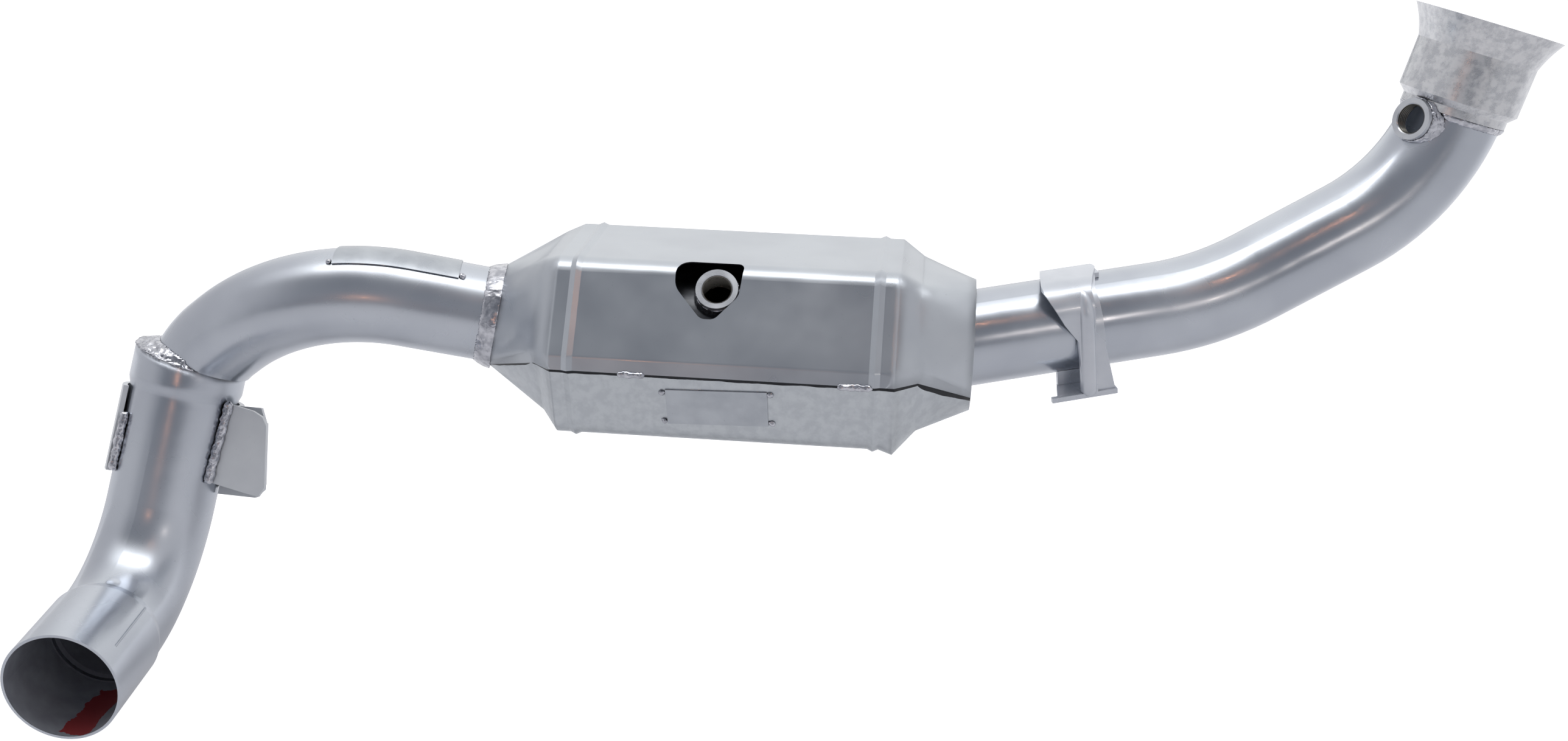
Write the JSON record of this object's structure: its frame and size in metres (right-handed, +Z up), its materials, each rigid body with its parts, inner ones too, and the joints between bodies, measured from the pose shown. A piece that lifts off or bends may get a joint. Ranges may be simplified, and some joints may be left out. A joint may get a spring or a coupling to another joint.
{
  "type": "catalytic converter",
  "caption": "Catalytic converter in a pressed heat shield, with a bent inlet pipe to a flared collar, a bent outlet pipe and tail pipe, sensor ports and welded brackets.",
  "frame": {"origin": "centre of the straight bore of the flared inlet collar, halfway along its wall", "axes": "+X along the converter body from its outlet end to its inlet end, +Z up, square to the flat top of the heat shield, and -Y towards the side with the body's sensor port"},
  "size_m": [0.8662, 0.3002, 0.404],
  "materials": {
    "collar_cast": "satin",
    "weld_bead": "gloss",
    "silver_pipe_paint": "satin",
    "bung_steel": "satin",
    "bracket_paint": "satin",
    "shield_paint": "satin",
    "shield_galvanised": "matte",
    "plate_steel": "satin",
    "can_steel": "satin",
    "ceramic_brick": "matte",
    "fibre_mat": "matte"
  },
  "bodies": {
    "root": {"inlet_flare_collar": "collar_cast", "collar_weld": "weld_bead", "inlet_pipe": "silver_pipe_paint", "inlet_sensor_bung": "bung_steel", "inlet_bung_weld": "weld_bead", "inlet_hanger_bracket": "bracket_paint", "hanger_bracket_welds": "weld_bead", "upper_heat_shield": "shield_paint", "lower_heat_shield": "shield_galvanised", "shield_seam_tacks": "weld_bead", "shield_label_plate": "plate_steel", "label_plate_tacks": "weld_bead", "can_upper_half": "can_steel", "can_lower_half": "can_steel", "inlet_neck_weld": "weld_bead", "inlet_brick": "ceramic_brick", "outlet_brick": "ceramic_brick", "inlet_mat": "fibre_mat", "outlet_mat": "fibre_mat", "body_sensor_bung": "bung_steel", "body_bung_weld": "weld_bead", "outlet_pipe": "silver_pipe_paint", "outlet_neck_weld": "weld_bead", "pipe_label_plate": "plate_steel", "pipe_label_tacks": "weld_bead", "tail_pipe": "silver_pipe_paint", "tail_joint_weld": "weld_bead", "tail_bracket": "bracket_paint", "tail_bracket_welds": "weld_bead"}
  },
  "joints": []
}
